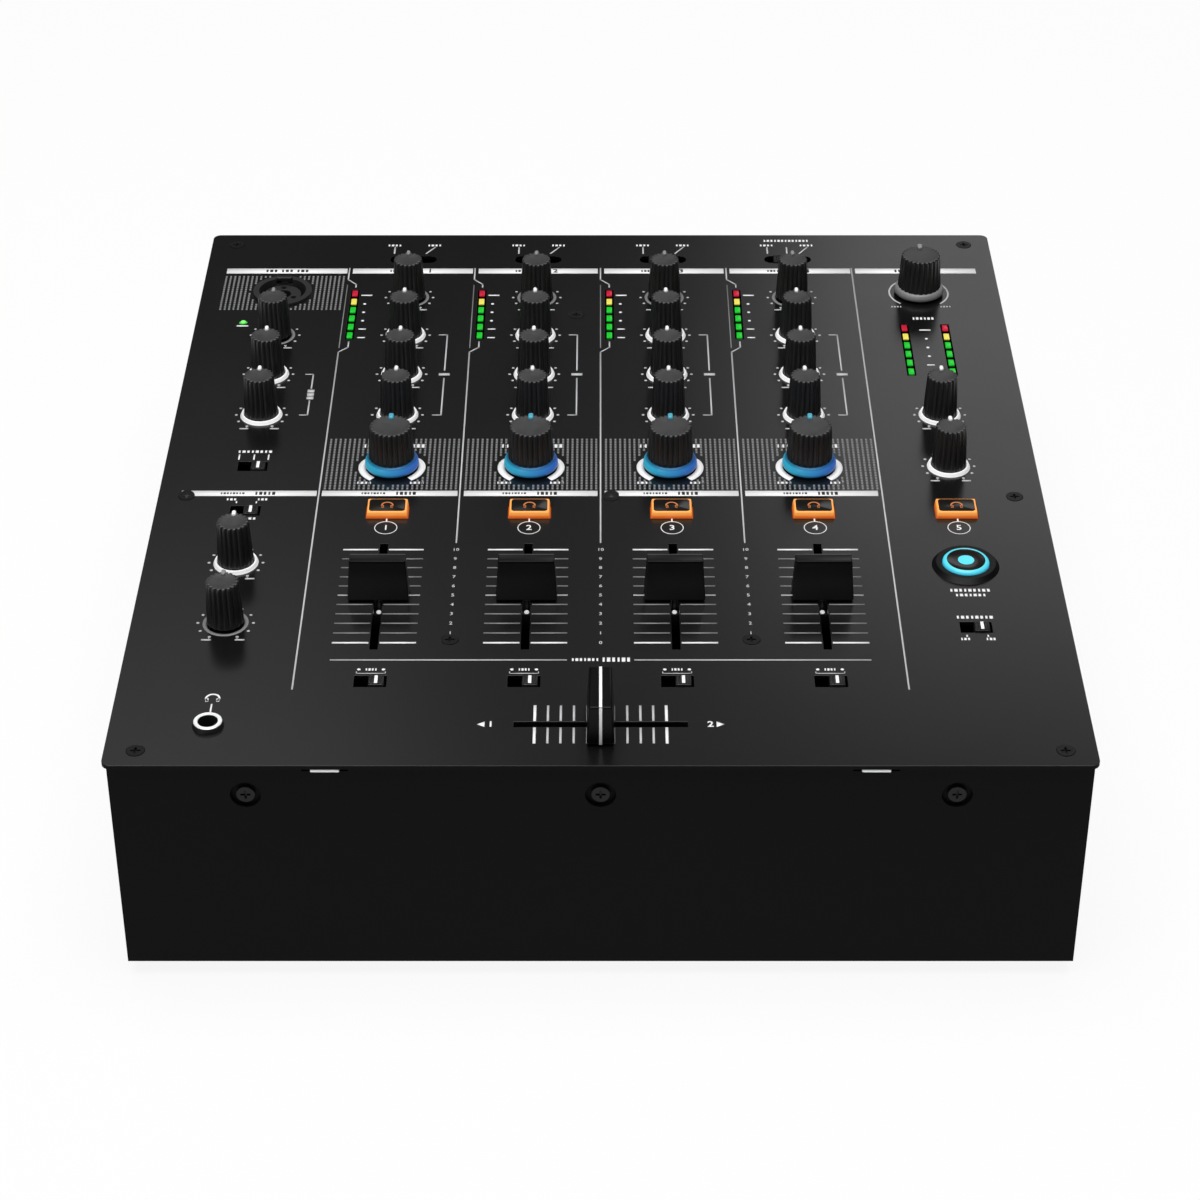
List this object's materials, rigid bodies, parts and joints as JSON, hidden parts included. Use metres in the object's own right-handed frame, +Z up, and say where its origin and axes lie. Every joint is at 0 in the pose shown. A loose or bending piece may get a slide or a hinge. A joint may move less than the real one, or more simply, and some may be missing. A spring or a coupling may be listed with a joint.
{
  "type": "dj mixer",
  "caption": "Club-style table-top audio mixer with a sheet-metal case, fluted rotary knobs, slide faders, lit push buttons, level meters and rear sockets.",
  "frame": {"origin": "middle of the case's footprint, on the surface it stands on", "axes": "+X to the user's right, +Y from the front edge to the rear sockets, +Z up"},
  "size_m": [0.32, 0.358, 0.1083],
  "materials": {
    "deck": "satin black paint with printed markings",
    "case": "satin black powder coat",
    "rubber": "matte",
    "screw": "black zinc",
    "board": "green solder mask",
    "light": "lit lens",
    "socket": "moulded with nickel contacts",
    "black_plastic": "fine grain",
    "fader_cap": "moulded cap on a white carriage",
    "knob": "soft-touch, fluted",
    "blue_knob": "soft-touch cap over a lit blue skirt",
    "orange_button": "translucent, lit from below",
    "blue_button": "translucent rim, lit from below"
  },
  "bodies": {
    "case": {"faceplate": "deck", "chassis": "case", "rear_panel": "case", "rubber_feet": "rubber", "case_screws": "screw", "circuit_boards": "board", "sockets": "socket", "flanged_sockets": "socket"},
    "mic_level_knob_body": {"mic_level_knob": "knob"},
    "mic_high_knob_body": {"mic_high_knob": "knob"},
    "mic_low_knob_body": {"mic_low_knob": "knob"},
    "master_knob_body": {"master_knob": "knob"},
    "booth_knob_body": {"booth_knob": "knob"},
    "balance_knob_body": {"balance_knob": "knob"},
    "cue_mix_knob_body": {"cue_mix_knob": "knob"},
    "cue_level_knob_body": {"cue_level_knob": "knob"},
    "gain_knob_1_body": {"gain_knob_1": "knob"},
    "high_knob_1_body": {"high_knob_1": "knob"},
    "mid_knob_1_body": {"mid_knob_1": "knob"},
    "low_knob_1_body": {"low_knob_1": "knob"},
    "filter_knob_1_body": {"filter_knob_1": "blue_knob"},
    "gain_knob_2_body": {"gain_knob_2": "knob"},
    "high_knob_2_body": {"high_knob_2": "knob"},
    "mid_knob_2_body": {"mid_knob_2": "knob"},
    "low_knob_2_body": {"low_knob_2": "knob"},
    "filter_knob_2_body": {"filter_knob_2": "blue_knob"},
    "gain_knob_3_body": {"gain_knob_3": "knob"},
    "high_knob_3_body": {"high_knob_3": "knob"},
    "mid_knob_3_body": {"mid_knob_3": "knob"},
    "low_knob_3_body": {"low_knob_3": "knob"},
    "filter_knob_3_body": {"filter_knob_3": "blue_knob"},
    "gain_knob_4_body": {"gain_knob_4": "knob"},
    "high_knob_4_body": {"high_knob_4": "knob"},
    "mid_knob_4_body": {"mid_knob_4": "knob"},
    "low_knob_4_body": {"low_knob_4": "knob"},
    "filter_knob_4_body": {"filter_knob_4": "blue_knob"},
    "channel_fader_1_body": {"channel_fader_1": "fader_cap"},
    "channel_fader_2_body": {"channel_fader_2": "fader_cap"},
    "channel_fader_3_body": {"channel_fader_3": "fader_cap"},
    "channel_fader_4_body": {"channel_fader_4": "fader_cap"},
    "crossfader_body": {"crossfader": "fader_cap"},
    "cue_button_1_body": {"cue_button_1": "orange_button"},
    "cue_button_2_body": {"cue_button_2": "orange_button"},
    "cue_button_3_body": {"cue_button_3": "orange_button"},
    "cue_button_4_body": {"cue_button_4": "orange_button"},
    "cue_button_master_body": {"cue_button_master": "orange_button"},
    "pairing_button_body": {"pairing_button": "blue_button"},
    "input_switch_1_body": {"input_switch_1": "black_plastic"},
    "input_switch_2_body": {"input_switch_2": "black_plastic"},
    "input_switch_3_body": {"input_switch_3": "black_plastic"},
    "input_switch_4_body": {"input_switch_4": "black_plastic"},
    "assign_switch_1_body": {"assign_switch_1": "black_plastic"},
    "assign_switch_2_body": {"assign_switch_2": "black_plastic"},
    "assign_switch_3_body": {"assign_switch_3": "black_plastic"},
    "assign_switch_4_body": {"assign_switch_4": "black_plastic"},
    "mic_switch_body": {"mic_switch": "black_plastic"},
    "split_switch_body": {"split_switch": "black_plastic"},
    "curve_switch_body": {"curve_switch": "black_plastic"},
    "power_rocker_body": {"power_rocker": "black_plastic"},
    "mic_jack_latch_body": {"mic_jack_latch": "black_plastic"}
  },
  "joints": [
    {"name": "mic_level_knob_turn", "type": "hinge", "parent": "case", "child": "mic_level_knob_body", "pos_m": [-0.1277, 0.0961, 0.0998], "axis": [0, 0, 1], "range_deg": [-150, 150]},
    {"name": "mic_high_knob_turn", "type": "hinge", "parent": "case", "child": "mic_high_knob_body", "pos_m": [-0.1277, 0.0661, 0.0998], "axis": [0, 0, 1], "range_deg": [-150, 150]},
    {"name": "mic_low_knob_turn", "type": "hinge", "parent": "case", "child": "mic_low_knob_body", "pos_m": [-0.1277, 0.0361, 0.0998], "axis": [0, 0, 1], "range_deg": [-150, 150]},
    {"name": "master_knob_turn", "type": "hinge", "parent": "case", "child": "master_knob_body", "pos_m": [0.1277, 0.13, 0.0998], "axis": [0, 0, 1], "range_deg": [-150, 150]},
    {"name": "booth_knob_turn", "type": "hinge", "parent": "case", "child": "booth_knob_body", "pos_m": [0.1277, 0.0361, 0.0998], "axis": [0, 0, 1], "range_deg": [-150, 150]},
    {"name": "balance_knob_turn", "type": "hinge", "parent": "case", "child": "balance_knob_body", "pos_m": [0.1277, 0, 0.0998], "axis": [0, 0, 1], "range_deg": [-150, 150]},
    {"name": "cue_mix_knob_turn", "type": "hinge", "parent": "case", "child": "cue_mix_knob_body", "pos_m": [-0.1277, -0.0632, 0.0998], "axis": [0, 0, 1], "range_deg": [-150, 150]},
    {"name": "cue_level_knob_turn", "type": "hinge", "parent": "case", "child": "cue_level_knob_body", "pos_m": [-0.1277, -0.0998, 0.0998], "axis": [0, 0, 1], "range_deg": [-150, 150]},
    {"name": "gain_knob_1_turn", "type": "hinge", "parent": "case", "child": "gain_knob_1_body", "pos_m": [-0.0765, 0.1262, 0.0998], "axis": [0, 0, 1], "range_deg": [-150, 150]},
    {"name": "high_knob_1_turn", "type": "hinge", "parent": "case", "child": "high_knob_1_body", "pos_m": [-0.0765, 0.0961, 0.0998], "axis": [0, 0, 1], "range_deg": [-150, 150]},
    {"name": "mid_knob_1_turn", "type": "hinge", "parent": "case", "child": "mid_knob_1_body", "pos_m": [-0.0765, 0.0661, 0.0998], "axis": [0, 0, 1], "range_deg": [-150, 150]},
    {"name": "low_knob_1_turn", "type": "hinge", "parent": "case", "child": "low_knob_1_body", "pos_m": [-0.0765, 0.0361, 0.0998], "axis": [0, 0, 1], "range_deg": [-150, 150]},
    {"name": "filter_knob_1_turn", "type": "hinge", "parent": "case", "child": "filter_knob_1_body", "pos_m": [-0.0765, 0, 0.0998], "axis": [0, 0, 1], "range_deg": [-150, 150]},
    {"name": "gain_knob_2_turn", "type": "hinge", "parent": "case", "child": "gain_knob_2_body", "pos_m": [-0.0255, 0.1262, 0.0998], "axis": [0, 0, 1], "range_deg": [-150, 150]},
    {"name": "high_knob_2_turn", "type": "hinge", "parent": "case", "child": "high_knob_2_body", "pos_m": [-0.0255, 0.0961, 0.0998], "axis": [0, 0, 1], "range_deg": [-150, 150]},
    {"name": "mid_knob_2_turn", "type": "hinge", "parent": "case", "child": "mid_knob_2_body", "pos_m": [-0.0255, 0.0661, 0.0998], "axis": [0, 0, 1], "range_deg": [-150, 150]},
    {"name": "low_knob_2_turn", "type": "hinge", "parent": "case", "child": "low_knob_2_body", "pos_m": [-0.0255, 0.0361, 0.0998], "axis": [0, 0, 1], "range_deg": [-150, 150]},
    {"name": "filter_knob_2_turn", "type": "hinge", "parent": "case", "child": "filter_knob_2_body", "pos_m": [-0.0255, 0, 0.0998], "axis": [0, 0, 1], "range_deg": [-150, 150]},
    {"name": "gain_knob_3_turn", "type": "hinge", "parent": "case", "child": "gain_knob_3_body", "pos_m": [0.0255, 0.1262, 0.0998], "axis": [0, 0, 1], "range_deg": [-150, 150]},
    {"name": "high_knob_3_turn", "type": "hinge", "parent": "case", "child": "high_knob_3_body", "pos_m": [0.0255, 0.0961, 0.0998], "axis": [0, 0, 1], "range_deg": [-150, 150]},
    {"name": "mid_knob_3_turn", "type": "hinge", "parent": "case", "child": "mid_knob_3_body", "pos_m": [0.0255, 0.0661, 0.0998], "axis": [0, 0, 1], "range_deg": [-150, 150]},
    {"name": "low_knob_3_turn", "type": "hinge", "parent": "case", "child": "low_knob_3_body", "pos_m": [0.0255, 0.0361, 0.0998], "axis": [0, 0, 1], "range_deg": [-150, 150]},
    {"name": "filter_knob_3_turn", "type": "hinge", "parent": "case", "child": "filter_knob_3_body", "pos_m": [0.0255, 0, 0.0998], "axis": [0, 0, 1], "range_deg": [-150, 150]},
    {"name": "gain_knob_4_turn", "type": "hinge", "parent": "case", "child": "gain_knob_4_body", "pos_m": [0.0765, 0.1262, 0.0998], "axis": [0, 0, 1], "range_deg": [-150, 150]},
    {"name": "high_knob_4_turn", "type": "hinge", "parent": "case", "child": "high_knob_4_body", "pos_m": [0.0765, 0.0961, 0.0998], "axis": [0, 0, 1], "range_deg": [-150, 150]},
    {"name": "mid_knob_4_turn", "type": "hinge", "parent": "case", "child": "mid_knob_4_body", "pos_m": [0.0765, 0.0661, 0.0998], "axis": [0, 0, 1], "range_deg": [-150, 150]},
    {"name": "low_knob_4_turn", "type": "hinge", "parent": "case", "child": "low_knob_4_body", "pos_m": [0.0765, 0.0361, 0.0998], "axis": [0, 0, 1], "range_deg": [-150, 150]},
    {"name": "filter_knob_4_turn", "type": "hinge", "parent": "case", "child": "filter_knob_4_body", "pos_m": [0.0765, 0, 0.0998], "axis": [0, 0, 1], "range_deg": [-150, 150]},
    {"name": "channel_fader_1_slide", "type": "slide", "parent": "case", "child": "channel_fader_1_body", "axis": [0, 1, 0], "range_m": [-0.03, 0.03]},
    {"name": "channel_fader_2_slide", "type": "slide", "parent": "case", "child": "channel_fader_2_body", "axis": [0, 1, 0], "range_m": [-0.03, 0.03]},
    {"name": "channel_fader_3_slide", "type": "slide", "parent": "case", "child": "channel_fader_3_body", "axis": [0, 1, 0], "range_m": [-0.03, 0.03]},
    {"name": "channel_fader_4_slide", "type": "slide", "parent": "case", "child": "channel_fader_4_body", "axis": [0, 1, 0], "range_m": [-0.03, 0.03]},
    {"name": "crossfader_slide", "type": "slide", "parent": "case", "child": "crossfader_body", "axis": [1, 0, 0], "range_m": [-0.0225, 0.0225]},
    {"name": "cue_button_1_press", "type": "slide", "parent": "case", "child": "cue_button_1_body", "axis": [0, 0, -1], "range_m": [0, 0.0009], "stiffness_N_per_m": 600, "springref_m": -0.0006},
    {"name": "cue_button_2_press", "type": "slide", "parent": "case", "child": "cue_button_2_body", "axis": [0, 0, -1], "range_m": [0, 0.0009], "stiffness_N_per_m": 600, "springref_m": -0.0006},
    {"name": "cue_button_3_press", "type": "slide", "parent": "case", "child": "cue_button_3_body", "axis": [0, 0, -1], "range_m": [0, 0.0009], "stiffness_N_per_m": 600, "springref_m": -0.0006},
    {"name": "cue_button_4_press", "type": "slide", "parent": "case", "child": "cue_button_4_body", "axis": [0, 0, -1], "range_m": [0, 0.0009], "stiffness_N_per_m": 600, "springref_m": -0.0006},
    {"name": "cue_button_master_press", "type": "slide", "parent": "case", "child": "cue_button_master_body", "axis": [0, 0, -1], "range_m": [0, 0.0009], "stiffness_N_per_m": 600, "springref_m": -0.0006},
    {"name": "pairing_button_press", "type": "slide", "parent": "case", "child": "pairing_button_body", "axis": [0, 0, -1], "range_m": [0, 0.0009], "stiffness_N_per_m": 600, "springref_m": -0.0006},
    {"name": "input_switch_1_slide", "type": "slide", "parent": "case", "child": "input_switch_1_body", "axis": [1, 0, 0], "range_m": [0, 0.0064]},
    {"name": "input_switch_2_slide", "type": "slide", "parent": "case", "child": "input_switch_2_body", "axis": [1, 0, 0], "range_m": [0, 0.0064]},
    {"name": "input_switch_3_slide", "type": "slide", "parent": "case", "child": "input_switch_3_body", "axis": [1, 0, 0], "range_m": [0, 0.0064]},
    {"name": "input_switch_4_slide", "type": "slide", "parent": "case", "child": "input_switch_4_body", "axis": [1, 0, 0], "range_m": [0, 0.0064]},
    {"name": "assign_switch_1_slide", "type": "slide", "parent": "case", "child": "assign_switch_1_body", "axis": [1, 0, 0], "range_m": [-0.004, 0]},
    {"name": "assign_switch_2_slide", "type": "slide", "parent": "case", "child": "assign_switch_2_body", "axis": [1, 0, 0], "range_m": [-0.004, 0]},
    {"name": "assign_switch_3_slide", "type": "slide", "parent": "case", "child": "assign_switch_3_body", "axis": [1, 0, 0], "range_m": [-0.004, 0]},
    {"name": "assign_switch_4_slide", "type": "slide", "parent": "case", "child": "assign_switch_4_body", "axis": [1, 0, 0], "range_m": [-0.004, 0]},
    {"name": "mic_switch_slide", "type": "slide", "parent": "case", "child": "mic_switch_body", "axis": [1, 0, 0], "range_m": [-0.004, 0]},
    {"name": "split_switch_slide", "type": "slide", "parent": "case", "child": "split_switch_body", "axis": [1, 0, 0], "range_m": [-0.004, 0]},
    {"name": "curve_switch_slide", "type": "slide", "parent": "case", "child": "curve_switch_body", "axis": [1, 0, 0], "range_m": [-0.004, 0]},
    {"name": "power_rocker_tilt", "type": "hinge", "parent": "case", "child": "power_rocker_body", "pos_m": [0.138, 0.1635, 0.0425], "axis": [1, 0, 0], "range_deg": [-20, 0]},
    {"name": "mic_jack_latch_press", "type": "slide", "parent": "case", "child": "mic_jack_latch_body", "axis": [0, 0, -1], "range_m": [0, 0.0008], "stiffness_N_per_m": 800, "springref_m": -0.0005}
  ]
}
